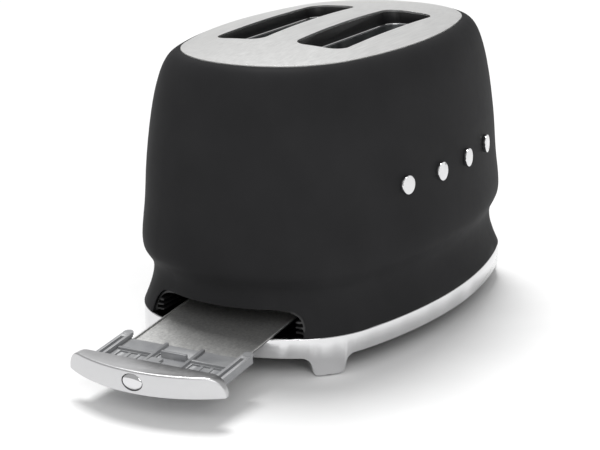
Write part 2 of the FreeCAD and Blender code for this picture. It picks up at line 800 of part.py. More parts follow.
def heater(word, centre, faces):
    """A mica board and the flat heating ribbon wound over it, one run after another."""
    board = box(f"board_{word}", "-chamber_length / 2", f"{centre} - board_thick / 2", "board_foot",
                "chamber_length", "board_thick", "board_top - board_foot")
    place(board, f"heater_board_{word}")
    ribbons = []
    rows = int(dim("ribbon_rows"))
    for hand in faces:
        y = f"{centre} + board_thick / 2" if hand > 0 else f"{centre} - board_thick / 2 - ribbon_thick"
        strips = []
        for row in range(rows):
            z = f"board_foot + 8 + {row} * ribbon_pitch"
            strips.append(box(f"ribbon_{word}_{'ab'[hand > 0]}_{row}", "-ribbon_length / 2", y, z,
                              "ribbon_length", "ribbon_thick", "ribbon_wide"))
            if row < rows - 1:
                x = "ribbon_length / 2 - ribbon_wide" if row % 2 else "-ribbon_length / 2"
                strips.append(box(f"ribbon_end_{word}_{'ab'[hand > 0]}_{row}", x, y, z, "ribbon_wide",
                                  "ribbon_thick", "ribbon_pitch + ribbon_wide"))
        ribbons.append(fuse(f"ribbon_{word}_{'ab'[hand > 0]}", *strips))
    place(fuse(f"heater_ribbon_{word}_all", *ribbons), f"heater_ribbon_{word}")


def bread_guide(word, side, hand):
    """A wire grid that closes on the bread as the lever goes down."""
    y = f"{side} * (slot_gap + slot_wide) / 2 + {hand} * guide_open"
    wires = []
    for level in ("guide_foot", "guide_top"):
        wires.append(rod(f"guide_{word}_{level}", "-chamber_length / 2 - sheet_thick - 2", y, level,
                         "wire_radius", "chamber_length + 2 * sheet_thick + 4", "x"))
    rows = int(dim("guide_rows"))
    for row in range(rows):
        wires.append(rod(f"guide_{word}_{row}", f"{row - (rows - 1) / 2} * guide_pitch", y, "guide_foot",
                         "wire_radius", "guide_top - guide_foot"))
    place(fuse(f"bread_guide_{word}_all", *wires), f"bread_guide_{word}")


# ---------------------------------------------------------------- bread lift

def lift_rack(word, side):
    """The ladder that carries a slice, with a tongue at each end through the chamber's walls."""
    y = f"{side} * (slot_gap + slot_wide) / 2"
    long = "(chamber_length - 8)"
    pieces = [box(f"rack_spine_{word}", f"-{long} / 2", f"{y} - 1.5", "rack_height", long, "3", "rack_thick")]
    rungs = int(dim("rack_rungs"))
    for rung in range(rungs):
        x = f"-{long} / 2 + {rung} * ({long} - 4) / {rungs - 1}"
        pieces.append(box(f"rack_rung_{word}_{rung}", x, f"{y} - rack_wide / 2", "rack_height", "4",
                          "rack_wide", "rack_thick"))
    pieces.append(box(f"rack_rear_tongue_{word}", f"{long} / 2 - 4", f"{y} - tongue_wide / 2", "rack_height",
                      f"carriage_face - {long} / 2 + 4", "tongue_wide", "tongue_high"))
    pieces.append(box(f"rack_front_tongue_{word}", "-chamber_length / 2 - sheet_thick - 4",
                      f"{y} - tongue_wide / 2", "rack_height", "chamber_length / 2 + sheet_thick + 4 - 60",
                      "tongue_wide", "tongue_high"))
    place(fuse(f"lift_rack_{word}_all", *pieces), f"lift_rack_{word}")


def carriage():
    block = box("carriage_blank", "carriage_face", "-carriage_width / 2", "carriage_foot", "carriage_depth",
                "carriage_width", "carriage_high")
    ear = box("carriage_ear", "carriage_face + carriage_depth", "-6", "carriage_foot + carriage_high - 4",
              "10", "12", "4")
    arm_seat = box("carriage_arm_seat", "carriage_face + carriage_depth - 1", "-4",
                   "lever_height - lever_high / 2 - 3", "5", "8", "lever_high / 2 + 3")
    holes = [rod(f"carriage_hole_{word}", "carriage_face + carriage_depth / 2", f"{side} * rod_spread / 2",
                 "carriage_foot - 1", "rod_radius + rod_play", "carriage_high + 2")
             for word, side in (("a", 1), ("b", -1))]
    windows = [box(f"carriage_window_{word}", "carriage_face + 4", f"{side} * 24 - 5", "carriage_foot - 1",
                   "carriage_depth - 8", "10", "carriage_high - 5") for word, side in (("a", 1), ("b", -1))]
    arm_pocket = box("carriage_arm_pocket", "carriage_face + 6", "-lever_thick / 2",
                     "lever_height - lever_high / 2", "30", "lever_thick", "20")
    place(cut("carriage_block_cut", fuse("carriage_whole", block, ear, arm_seat), *holes, *windows,
              arm_pocket),
          "carriage_block")
    catch = box("catch_blank", "carriage_face + 1", "magnet_y - magnet_wide / 2",
                "carriage_foot - catch_thick", "magnet_wide", "magnet_wide", "catch_thick")
    place(catch, "catch_plate")


def lever_arm():
    """The flat arm that leaves the carriage, passes the board and the shell, and holds the knob."""
    plate = box("lever_plate", "carriage_face + 6", "-lever_thick / 2", "lever_height - lever_high / 2",
                "knob_back + 4 - carriage_face - 6", "lever_thick", "lever_high")
    relief = box("lever_relief", "spring_x - spring_radius - 1.5", "-lever_thick",
                 "carriage_foot + carriage_high", "2 * spring_radius + 3", "2 * lever_thick", "10")
    place(cut("lever_arm_cut", plate, relief), "lever_arm")


def guide_rods():
    rods = [rod(f"guide_rod_{word}", "carriage_face + carriage_depth / 2", f"{side} * rod_spread / 2",
                "rod_foot", "rod_radius", "rod_top - rod_foot") for word, side in (("a", 1), ("b", -1))]
    place(fuse("guide_rods_all", *rods), "guide_rods")


def rod_bracket(word, z, wide_end):
    """A block on the chamber's wall that holds the guide rods' ends."""
    start = "chamber_length / 2 + sheet_thick"
    block = box(f"bracket_{word}", start, "-20", z, f"{wide_end} - chamber_length / 2 - sheet_thick", "58",
                "bracket_thick")
    place(block, f"rod_bracket_{word}")


def lift_spring():
    """The tension spring that lifts the carriage, closed at rest."""
    foot = dim("carriage_foot") + dim("carriage_high")
    height = dim("rod_top") - foot
    wire = dim("spring_wire")
    pitch = (height - 2 * wire) / dim("spring_turns")
    helix = Part.makeHelix(pitch, height - 2 * wire, dim("spring_radius"))
    section = Part.Wire(Part.makeCircle(wire, V(dim("spring_radius"), 0, 0), V(0, 1, 0)))
    coil = Part.Wire(helix).makePipeShell([section], True, False)
    place(made("lift_spring_coil", coil), "lift_spring", x="spring_x",
          z="carriage_foot + carriage_high + spring_wire")


def magnet():
    low = "rod_foot"
    face = "carriage_foot - catch_thick - lift_travel - magnet_gap"
    x = "carriage_face + 1"
    core = box("magnet_core", f"{x} + 3", "magnet_y - magnet_wide / 2 + 3", low, "magnet_wide - 6",
               "magnet_wide - 6", f"{face} - ({low})")
    cap = box("magnet_cap", x, "magnet_y - magnet_wide / 2", f"{face} - 3", "magnet_wide", "magnet_wide", "3")
    place(fuse("hold_magnet_core", core, cap), "hold_magnet")
    coil = rod("coil_outer", f"{x} + magnet_wide / 2", "magnet_y", f"{low} + 0.3", "magnet_wide / 2",
               f"{face} - 3.6 - ({low})")
    bore = box("coil_bore", f"{x} + 2.7", "magnet_y - magnet_wide / 2 + 2.7", low, "magnet_wide - 5.4",
               "magnet_wide - 5.4", f"{face} - ({low})")
    place(cut("magnet_coil_cut", coil, bore), "magnet_coil")


# ---------------------------------------------------------------- controls

def browning_parts():
    wall = wall_x(0, dim("browning_height"))
    ring = rod("bezel_blank", "board_x + 8", "0", "browning_height", "bezel_radius", THROUGH, "x")
    hole = rod("bezel_hole", "board_x", "0", "browning_height", "shaft_clear", THROUGH, "x")
    place(on_skin("browning_bezel_cut", dim("bezel_proud"), ring, hole), "browning_bezel")
    case = box("pot_case", "board_x + control_board_thick", "-8", "browning_height - 8", "10", "16", "16")
    neck = rod("pot_neck", "board_x + control_board_thick + 10", "0", "browning_height",
               "shaft_radius + 1.5", "4", "x")
    bore = rod("pot_bore", "board_x + control_board_thick + 6", "0", "browning_height",
               "shaft_radius + shaft_play", "20", "x")
    place(cut("potentiometer_cut", fuse("pot_blank", case, neck), bore), "potentiometer")
    start = "board_x + control_board_thick + 6.3"
    shaft = rod("pot_shaft_rod", start, "0", "browning_height", "shaft_radius",
                f"{wall:.4f} + browning_gap + browning_depth / 2 - ({start})", "x")
    place(shaft, "pot_shaft")


def lever_trim():
    blank = box("trim_blank", "board_x", "-trim_wide / 2", "lever_slot_foot - 4", THROUGH, "trim_wide",
                "lever_slot_top - lever_slot_foot + 8")
    slot = box("trim_slot", "board_x", "-lever_slot_wide / 2", "lever_slot_foot", THROUGH, "lever_slot_wide",
               "lever_slot_top - lever_slot_foot")
    place(on_skin("lever_slot_trim_cut", dim("trim_proud"), blank, slot), "lever_slot_trim")


def buttons():
    rings = []
    switches = []
    for name in BUTTONS:
        y, z = button_spot(name)
        wall = wall_x(y, z)
        rings.append(rod(f"ring_{name}", "board_x + 8", y, z, "button_radius + button_play + button_ring",
                         THROUGH, "x"))
        cap = rod(f"cap_{name}", f"{wall:.4f} - button_inside", y, z, "button_radius",
                  "button_proud + button_inside", "x")
        stem_start = "board_x + control_board_thick + switch_depth + 1 + button_stroke + 0.5"
        stem = rod(f"stem_{name}", stem_start, y, z, "stem_radius",
                   f"{wall:.4f} - button_inside - ({stem_start})", "x")
        whole = fuse(f"button_{name}_blank", cap, stem)
        for item in (cap, stem, whole):
            item.recompute()
        rounded = doc.addObject("Part::Fillet", f"button_{name}_round")
        rounded.Base = whole
        tip = whole.Shape.BoundBox.XMax
        radius = dim("cap_round")
        rounded.Edges = [(1 + index, radius, radius) for index, edge in enumerate(whole.Shape.Edges)
                         if abs(edge.BoundBox.XMin - tip) < 0.01]
        place(rounded, f"{name}_button")
        half = "switch_size / 2"
        base = "board_x + control_board_thick"
        case = box(f"switch_{name}", base, f"{y} - {half}", f"{z} - {half}", "switch_depth", "switch_size",
                   "switch_size")
        plunger = rod(f"plunger_{name}", f"{base} + switch_depth", y, z, "1.5", "1", "x")
        switches.append(fuse(f"switch_{name}_whole", case, plunger))
    holes = [rod(f"ring_hole_{name}", "board_x", button_spot(name)[0], button_spot(name)[1],
                 "button_radius + button_play", THROUGH, "x") for name in BUTTONS]
    place(on_skin("button_bezels_cut", dim("trim_proud"), fuse("rings_all", *rings), *holes), "button_bezels")
    place(fuse("button_switches_all", *switches), "button_switches")


def side_studs():
    studs = [rod(f"stud_{index}", f"{index - 1.5} * stud_pitch", "-body_width / 2 - 10", "stud_height",
                 "stud_radius", "body_width / 2 - 30", "y") for index in range(4)]
    place(on_skin("side_studs_cut", dim("stud_proud"), fuse("studs_all", *studs)), "side_studs")


def mains_inlet():
    tube = rod("inlet_tube", "inlet_x", "inlet_y", "pan_foot", "inlet_radius", "pan_thick + 8")
    flange = rod("inlet_flange", "inlet_x", "inlet_y", "pan_foot + pan_thick", "inlet_radius + 2", "2")
    bore = rod("inlet_bore", "inlet_x", "inlet_y", "pan_foot - 1", "inlet_radius - 2", "30")
    place(cut("cord_inlet_cut", fuse("inlet_blank", tube, flange), bore), "cord_inlet")
    block = box("terminal_blank", "inlet_x - 8", "terminal_y", "pan_foot + pan_thick", "terminal_length",
                "terminal_width", "terminal_high")
    wells = [rod(f"terminal_well_{row}", f"inlet_x - 3 + {row} * 8", "terminal_y + terminal_width / 2",
                 "pan_foot + pan_thick + terminal_high - 6", "2", "10") for row in range(3)]
    place(cut("terminal_block_cut", block, *wells), "terminal_block")


# ---------------------------------------------------------------- crumb tray

def slope_frame(piece, label=None, draw="0"):
    """Turns a piece into the tray's own frame: along the sloping floor from the sill, inwards.

    A tool that only cuts is held in a compound first, which keeps its own place within that frame.
    """
    if label is None:
        held = doc.addObject("Part::Compound", piece.Name + "_sloped")
        held.Links = [piece]
        piece = held
    piece.Placement.Rotation = FreeCAD.Rotation(V(0, -1, 0), dim("tray_slope"))
    piece.setExpression(".Placement.Rotation.Angle", bound("tray_slope"))
    put(piece, f"-body_length / 2 - {draw} * cos(tray_slope)", "0",
        f"band_top + sill_gap - {draw} * sin(tray_slope)")
    if label:
        place(piece, label)
    return piece


def tray_mouth_frame():
    """The dark lining behind the tray's opening, with ledges along its sides."""
    start = -dim("body_length") / 2 + dim("fascia_depth") + dim("lining_gap")
    outer = mouth_block("lining_outer", 0.2, start, 22)
    inner = mouth_block("lining_inner", 2.0, start - 1, 30)
    collar = box("lining_collar", f"{start}", "-mouth_half - 4", "band_top + 0.1", "1.5",
                 "2 * mouth_half + 8", "mouth_top - band_top + 4")
    ledges = []
    for row in range(3):
        for side in (-1, 1):
            y = "mouth_half - 2.1 - 5" if side > 0 else "-mouth_half + 2.1"
            ledges.append(box(f"lining_ledge_{row}_{'ab'[side > 0]}", start, y,
                              f"band_top + 1.5 + {row} * 3.2", "20", "5", "1.2"))
    tube = cut("lining_tube", fuse("lining_blank", outer, collar), inner)
    cavity = made("lining_cavity", envelope(dim("shell_wall") + 0.1, dim("shell_top") - dim("shell_wall")))
    whole = fuse("lining_whole", tube, *ledges)
    place(common("tray_mouth_frame_common", whole, cavity), "tray_mouth_frame")


def tray_guide(word, side):
    """A rail on the base pan that the tray's edge slides in; its channel slopes with the tray."""
    inner = "tray_half - guide_grip"
    y = inner if side > 0 else "-guide_outer"
    wide = f"guide_outer - ({inner})"
    start = "-body_length / 2 + guide_start * cos(tray_slope)"
    stop = "chamber_length / 2 - 1"
    block = box(f"guide_block_{word}", start, y, "pan_foot + pan_thick", f"{stop} - ({start})", wide, "60")
    over = box(f"guide_over_{word}", "-100", "-70",
               "tray_wall_high + tray_floor + 2 * tray_roll + tray_play + guide_lip", "500", "140", "80")
    channel = box(f"guide_channel_{word}", "-20", "-tray_half - tray_roll - tray_play", "0",
                  "500", "2 * tray_half + 2 * tray_roll + 2 * tray_play",
                  "tray_wall_high + tray_floor + 2 * tray_roll + tray_play")
    holes = [rod(f"guide_hole_{word}_{index}", x, f"{row} * (guide_outer - 4)", "pan_foot", "screw_radius",
                 "pan_thick + screw_grip") for index, (x, row) in enumerate(SCREW_SPOTS) if row == side]
    place(cut(f"tray_guide_{word}_cut", block, slope_frame(over), slope_frame(channel), *holes),
          f"tray_guide_{word}")


def crumb_tray():
    """The thin steel tray: a flat floor between two low walls with rolled top edges."""
    run = "tray_back - tray_front"
    floor = box("tray_floor_sheet", "tray_front", "-tray_half", "tray_floor", run, "2 * tray_half",
                "tray_sheet")
    pieces = [floor]
    start = "tray_front + tray_overlap + 0.2"
    for word, side in (("a", 1), ("b", -1)):
        y = "tray_half - tray_sheet" if side > 0 else "-tray_half"
        pieces.append(box(f"tray_wall_{word}", start, y, "tray_floor", f"tray_back - ({start})", "tray_sheet",
                          "tray_wall_high + tray_roll"))
        pieces.append(rod(f"tray_roll_{word}", start, f"{side} * (tray_half - tray_roll * 0.4)",
                          "tray_floor + tray_wall_high", "tray_roll", f"tray_back - ({start})", "x"))
    pieces.append(box("tray_end", "tray_back - tray_sheet", "-tray_half", "tray_floor", "tray_sheet",
                      "2 * tray_half", "tray_wall_high"))
    hole = rod("tray_hole", "tray_front + 3.5", "11", "-1", "1.3", "6")
    slot = box("tray_slot", "tray_front + 3.5", "-8", "-1", "2", "12", "6")
    slope_frame(cut("crumb_tray_cut", fuse("tray_blank", *pieces), hole, slot), "crumb_tray", "tray_draw")


def tray_carrier():
    """The grey moulded carrier between the fascia and the steel tray, with arms, windows and ribs."""
    front = "(fascia_depth / cos(tray_slope) + 0.7)"
    low = "tray_floor + tray_sheet"
    base = box("carrier_base", front, "-arm_outer + 1", low, f"tray_front + tray_overlap - {front}",
               "2 * arm_outer - 2", "1.6")
    cuts = [box("carrier_window_mid", f"{front} + 9", "-11", f"{low} + window_floor", "19", "22", "20"),
            box("carrier_relief", f"{front} - 1", "-stem_radius - 1", f"{low} + window_floor", "12",
                "2 * stem_radius + 2", "20")]
    sides = {"a": "window_side", "b": "-window_side - window_wide"}
    for word, y in sides.items():
        cuts.append(box(f"carrier_window_{word}", f"{front} + 8", y, f"{low} + window_floor", "15",
                        "window_wide", "20"))
    pieces = [cut("carrier_floor", base, *cuts)]
    for word, side in (("a", 1), ("b", -1)):
        y = "arm_outer - arm_wide" if side > 0 else "-arm_outer"
        arm = box(f"arm_{word}", front, y, "0.2", f"carrier_back - {front}", "arm_wide", "arm_high + 0.6")
        groove = box(f"arm_groove_{word}", f"{front} + 3", f"{y} + 2", "arm_high - 1",
                     f"carrier_back - {front} - 9", "arm_wide - 4", "5")
        under = box(f"arm_under_{word}", "tray_front - 2", "-tray_half - 1.5", "-1", "60",
                    "2 * tray_half + 3", "arm_high - 0.9")
        pieces.append(cut(f"arm_whole_{word}", arm, groove, under))
        pieces.append(rod(f"lug_{word}", "carrier_back", f"{side} * (arm_outer - arm_wide / 2)",
                          "arm_high - 0.9", "arm_wide / 2", "1.9"))
        for row in range(2):
            start = f"{sides[word]} + 6 + {row} * 7"
            pieces.append(box(f"window_rib_{word}_{row}", f"{front} + 7", start, low, "17", "2", "1.2"))
        pieces.append(box(f"carrier_rib_{word}", front, f"{side} * 13 - 1", low,
                          f"tray_front + tray_overlap - {front}", "2", "3.4"))
        pieces.append(box(f"carrier_edge_{word}", f"{front} + 24", f"{side} * 26 - 13", low, "2", "26",
                          "3.0"))
    pieces.append(box("latch_house_a", f"{front} + 7", "-9", low, "2", "18", "4.4"))
    pieces.append(box("latch_house_b", f"{front} + 26", "-9", low, "2", "18", "4.4"))
    slope_frame(fuse("tray_carrier_all", *pieces), "tray_carrier", "tray_draw")


def release_oval(name, grow, x, length, height):
    """An oval block along X, for the release button and its recess."""
    long_r = dim("release_long") / 2 + grow
    high_r = dim("release_high") / 2 + grow
    ring = Part.Ellipse(V(0, 0, 0), long_r, high_r).toShape()
    solid = Part.Face(Part.Wire(ring)).extrude(V(0, 0, length))
    solid.rotate(V(0, 0, 0), V(0, 0, 1), 90)
    solid.rotate(V(0, 0, 0), V(0, 1, 0), 90)
    solid.translate(V(x, 0, height))
    return made(name, solid)


def fascia_parts():
    """The bowed chrome front, flush with the body when closed, and the oval button in it."""
    low = dim("band_top") + dim("sill_gap")
    front = -dim("body_length") / 2
    plan = prism(0, 0, low, low + dim("fascia_high"))
    half = dim("mouth_half") - dim("fascia_play")
    face = Part.makeBox(dim("fascia_depth"), 2 * half, dim("fascia_high"), V(front, -half, low))
    corners = [edge for edge in face.Edges if edge.BoundBox.XLength > 5
               and abs(edge.BoundBox.ZMax - low - dim("fascia_high")) < 0.01]
    solid = face.makeFillet(dim("fascia_corner"), corners).common(plan)
    rims = []
    for edge in solid.Edges:
        middle = edge.valueAt((edge.FirstParameter + edge.LastParameter) / 2)
        in_front = middle.x < front + dim("fascia_depth") - 0.5
        if in_front and middle.z > low + 0.5 and edge.BoundBox.YLength > 3:
            rims.append(edge)
    solid = solid.makeFillet(dim("fascia_round"), rims)
    centre = low + dim("fascia_high") / 2
    recess = release_oval("release_recess", dim("release_play"), front - 5, 5 + dim("release_deep"), centre)
    stem_hole = rod("release_stem_hole", f"{front}", "0", centre, "stem_radius + release_play", THROUGH,
                    "x")
    travel_x = "-tray_draw * cos(tray_slope)"
    travel_z = "-tray_draw * sin(tray_slope)"
    below = slope_frame(box("fascia_below", "-20", "-80", "-30", "60", "160", "30"))
    place(cut("tray_fascia_cut", made("fascia_solid", solid), recess, stem_hole, below), "tray_fascia",
          x=travel_x, z=travel_z)
    cap_start = front + dim("release_deep") - dim("release_stroke") - 0.3
    cap = release_oval("release_cap", 0, front - dim("release_proud"),
                       cap_start - front + dim("release_proud"), centre)
    rounded = doc.addObject("Part::Fillet", "release_cap_round")
    rounded.Base = cap
    tip = cap.Shape.BoundBox.XMin
    radius = dim("cap_round")
    rounded.Edges = [(1 + index, radius, radius) for index, edge in enumerate(cap.Shape.Edges)
                     if abs(edge.BoundBox.XMax - tip) < 0.01]
    stem = rod("release_stem", cap_start - 0.5, "0", centre, "stem_radius",
               front + dim("fascia_depth") + dim("latch_gap") - 0.3 - cap_start + 0.5, "x")
    place(fuse("tray_button_all", rounded, stem), "tray_button", x=travel_x, z=travel_z)
    latch_x = dim("fascia_depth") + front + dim("latch_gap")
    latch = box("latch_bar", latch_x, "-6", centre - 1.0, "latch_thick", "12", "7")
    hook = box("latch_hook", latch_x, "-4", centre + 4.0, "8", "8", "2")
    place(fuse("tray_latch_all", latch, hook), "tray_latch", x=travel_x, z=travel_z)


def build():
    outer_shell()
    hollow = top_plate()
    base_band()
    foot_pads()
    bottom_pan()
    base_screws()
    for word, side in (("left", 1), ("right", -1)):
        slot_collar(word, side, hollow)
        slot_liner(word, side)
        heat_shield(word, side)
        lift_rack(word, side)
        tray_guide(word, side)
        bread_guide(f"{word}_outer", side, side)
        bread_guide(f"{word}_inner", side, -side)
    for word, side in (("front", -1), ("rear", 1)):
        chassis_plate(word, side)
    upper_frame()
    heater("left", "outer_board", (-1,))
    heater("centre", "0", (-1, 1))
    heater("right", "-outer_board", (1,))
    carriage()
    lever_arm()
    lever_knob()
    guide_rods()
    rod_bracket("lower", "rod_foot - bracket_thick", "spring_x + 3")
    rod_bracket("upper", "rod_top", "spring_x + 6")
    lift_spring()
    magnet()
    control_board()
    browning_parts()
    browning_knob()
    lever_trim()
    buttons()
    side_studs()
    mains_inlet()
    tray_mouth_frame()
    crumb_tray()
    tray_carrier()
    fascia_parts()


build()
doc.recompute()
faults = [item.Label for item in doc.Objects if "Invalid" in item.State or "Error" in item.State]
if faults:
    raise RuntimeError(f"failed to recompute: {faults}")
for piece in nodes:
    if piece.Shape.isNull() or not piece.Shape.isValid() or not piece.Shape.Solids:
        raise RuntimeError(f"{piece.Label} has no valid solid")
os.makedirs("parts", exist_ok=True)
for piece in nodes:
    piece.Shape.exportStep(f"parts/{piece.Label}.step")
print(len(nodes), "nodes written")
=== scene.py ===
"""A rounded two-slot toaster with its crumb tray drawn out: its looks, built round the fixed frame."""
import json
import math

import bpy
from mathutils import Matrix, Vector


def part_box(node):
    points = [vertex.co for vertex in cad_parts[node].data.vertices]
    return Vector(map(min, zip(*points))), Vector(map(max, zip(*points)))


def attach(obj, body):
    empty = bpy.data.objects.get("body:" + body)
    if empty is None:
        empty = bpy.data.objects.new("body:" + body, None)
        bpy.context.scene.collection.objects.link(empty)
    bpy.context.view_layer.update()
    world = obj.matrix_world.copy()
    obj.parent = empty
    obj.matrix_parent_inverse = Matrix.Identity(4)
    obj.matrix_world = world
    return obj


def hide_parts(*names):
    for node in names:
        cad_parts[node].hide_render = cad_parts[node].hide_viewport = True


MM = 0.001
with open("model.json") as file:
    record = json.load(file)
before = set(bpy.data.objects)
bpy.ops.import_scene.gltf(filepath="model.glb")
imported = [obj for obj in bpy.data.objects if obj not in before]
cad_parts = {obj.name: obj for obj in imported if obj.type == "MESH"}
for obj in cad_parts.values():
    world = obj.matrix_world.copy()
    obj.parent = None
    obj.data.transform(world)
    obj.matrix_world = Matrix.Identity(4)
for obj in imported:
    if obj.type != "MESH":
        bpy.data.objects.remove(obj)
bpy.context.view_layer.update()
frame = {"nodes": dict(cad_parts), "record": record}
NODES = frame["nodes"]
BODIES = frame["record"]["behaviour"]["bodies"]
BODY_OF = {node: name for name, members in BODIES.items() for node in members}
SLOT_OF = {entry["node"]: entry["material_slot"] for entry in frame["record"]["subparts"]}

band_low, band_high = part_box("base_band")
body_x = (band_low.x + band_high.x) / 2

# the crumb tray slides on a slope, and stands drawn out by this much from its sill
TRAY_SLOPE = math.radians(6)
TRAY_DRAW = 90.5 * MM
SILL_GAP = 0.35 * MM
SILL = Vector((band_low.x, 0, band_high.z + SILL_GAP))

# the top plate's bowed plan, and its dome
PLATE_SIDE_BOW = 28.73 * MM
PLATE_END_BOW = 29.32 * MM
PLATE_CORNER = 61.2 * MM
PLATE_EDGE = 1.0 * MM
PLATE_WALL = 1.2 * MM
SLOT_CORNER = 10.0 * MM
COLLAR_WALL = 1.5 * MM

# corners closer than WELD are one corner, faces that meet flatter than FLAT are one face, and an edge
# sharper than EDGE_ANGLE is rounded
WELD = 0.02 * MM
FLAT = math.radians(0.5)
EDGE_ANGLE = math.radians(35)


# ---------------------------------------------------------------- camera and light

def aim_camera():
    """Looks along the tray from low on its own side, through a long lens."""
    yaw, pitch, roll = math.radians(29.39), math.radians(-16.46), math.radians(-0.75)
    ahead = Vector((math.cos(pitch) * math.cos(yaw), math.cos(pitch) * math.sin(yaw), math.sin(pitch)))
    level_right = ahead.cross(Vector((0, 0, 1))).normalized()
    level_up = level_right.cross(ahead)
    right = level_right * math.cos(roll) + level_up * math.sin(roll)
    up = level_up * math.cos(roll) - level_right * math.sin(roll)
    data = bpy.data.cameras.new("camera")
    data.sensor_width = 36
    data.lens = 114.0
    data.shift_x = -0.0148
    data.shift_y = 0.0014
    data.clip_end = 20
    camera = bpy.data.objects.new("camera", data)
    bpy.context.scene.collection.objects.link(camera)
    place = Matrix((right, up, -ahead)).transposed().to_4x4()
    place.translation = Vector((body_x - 1.0946, -0.6010, 0.4243))
    camera.matrix_world = place
    bpy.context.scene.camera = camera


def add_lamp(name, spot, target, power, wide, high):
    """A soft rectangular lamp."""
    data = bpy.data.lights.new(name, "AREA")
    data.shape = "RECTANGLE"
    data.size = wide
    data.size_y = high
    data.energy = power
    lamp = bpy.data.objects.new(name, data)
    bpy.context.scene.collection.objects.link(lamp)
    lamp.location = spot
    lamp.rotation_euler = (Vector(target) - Vector(spot)).to_track_quat("-Z", "Y").to_euler()


def add_sun(towards, strength, spread_degrees):
    """An even overhead light from one side, soft at its shadows' edges."""
    data = bpy.data.lights.new("key", "SUN")
    data.energy = strength
    data.angle = math.radians(spread_degrees)
    lamp = bpy.data.objects.new("key", data)
    bpy.context.scene.collection.objects.link(lamp)
    lamp.rotation_euler = (-towards).to_track_quat("-Z", "Y").to_euler()


# ---------------------------------------------------------------- materials

def linear(code):
    """An sRGB hex value as linear colour."""
    parts = [int(code[index:index + 2], 16) / 255 for index in (1, 3, 5)]
    return tuple(p / 12.92 if p <= 0.04045 else ((p + 0.055) / 1.055) ** 2.4 for p in parts) + (1.0,)


def start_material(name, color, roughness, metallic=0.0, ior=None):
    """A new finish with its plain values, and its shader's sockets and the object's own coordinates."""
    material = bpy.data.materials.new(name)
    material.use_nodes = True
    shader = material.node_tree.nodes["Principled BSDF"]
    shader.inputs["Base Color"].default_value = linear(color)
    shader.inputs["Roughness"].default_value = roughness
    shader.inputs["Metallic"].default_value = metallic
    if ior:
        shader.inputs["IOR"].default_value = ior
    place = add_node(material, "ShaderNodeTexCoord").outputs["Object"]
    return material, shader.inputs, place


def add_node(material, kind, settings=None, feeds=None, **links):
    """Adds a node with its settings, what feeds its sockets, and the socket that its first output feeds.

    A setting is a property, a socket's value, or "stops", the two hex colours of a ramp.
    """
    tree = material.node_tree
    node = tree.nodes.new(kind)
    for key, value in (settings or {}).items():
        if key == "stops":
            for stop, position, code in zip(node.color_ramp.elements, (0.3, 0.7), value):
                stop.position = position
                stop.color = linear(code)
        elif hasattr(node, key):
            setattr(node, key, value)
        else:
            node.inputs[key].default_value = value
    for key, source in links.items():
        tree.links.new(source.outputs[0] if hasattr(source, "outputs") else source, node.inputs[key])
    if feeds:
        tree.links.new(node.outputs[0], feeds)
    return node


def per_mm(size):
    """The scale of a pattern whose grain is this many millimetres."""
    return 1 / (size * MM)


NOISE = "ShaderNodeTexNoise"
RAMP = "ShaderNodeValToRGB"
RANGE = "ShaderNodeMapRange"
BUMP = "ShaderNodeBump"
STRETCH = "ShaderNodeMapping"


def matt_powder_coat():
    """Matt powder coat on pressed steel: nearly black, hardly any shine, and an even fine orange peel."""
    material, sockets, place = start_material("matt_powder_coat", "#2B2B2C", 0.52, ior=1.45)
    sockets["Specular IOR Level"].default_value = 0.03
    cloud = add_node(material, NOISE, {"Scale": per_mm(38), "Detail": 3}, Vector=place)
    add_node(material, RAMP, {"stops": ("#29292A", "#2D2D2E")}, sockets["Base Color"], Fac=cloud)
    blotch = add_node(material, NOISE, {"Scale": per_mm(6), "Detail": 3}, Vector=place)
    add_node(material, RANGE, {"To Min": 0.48, "To Max": 0.56}, sockets["Roughness"], Value=blotch)
    peel = add_node(material, NOISE, {"Scale": per_mm(0.9), "Detail": 2}, Vector=place)
    add_node(material, BUMP, {"Strength": 0.12, "Distance": 0.05 * MM}, sockets["Normal"], Height=peel)
    return material


def satin_pressed_steel():
    """Satin stainless sheet, brushed along its length: light grey, with a blurred stretched reflection.

    The scratches are drawn 0.5 mm wide, several times as wide as real ones, so that they show.
    """
    material, sockets, place = start_material("satin_pressed_steel", "#E4E4E3", 0.3, metallic=1.0)
    along = add_node(material, STRETCH, {"Scale": (0.02, 1, 1)}, Vector=place)
    brush = add_node(material, NOISE, {"Scale": per_mm(0.5), "Detail": 4}, Vector=along)
    add_node(material, RANGE, {"To Min": 0.26, "To Max": 0.42}, sockets["Roughness"], Value=brush)
    add_node(material, RAMP, {"stops": ("#E6E6E5", "#F4F4F3")}, sockets["Base Color"], Fac=brush)
    add_node(material, BUMP, {"Strength": 0.06, "Distance": 0.02 * MM}, sockets["Normal"], Height=brush)
    return material


def bright_plate():
    """Polished chrome plate: a clear mirror that the faintest waviness of the pressing bends."""
    material, sockets, place = start_material("bright_plate", "#DADADB", 0.05, metallic=1.0)
    haze = add_node(material, NOISE, {"Scale": per_mm(9), "Detail": 3}, Vector=place)
    add_node(material, RANGE, {"To Min": 0.03, "To Max": 0.09}, sockets["Roughness"], Value=haze)
    wave = add_node(material, NOISE, {"Scale": per_mm(14), "Detail": 1}, Vector=place)
    add_node(material, BUMP, {"Strength": 0.05, "Distance": 0.1 * MM}, sockets["Normal"], Height=wave)
    return material


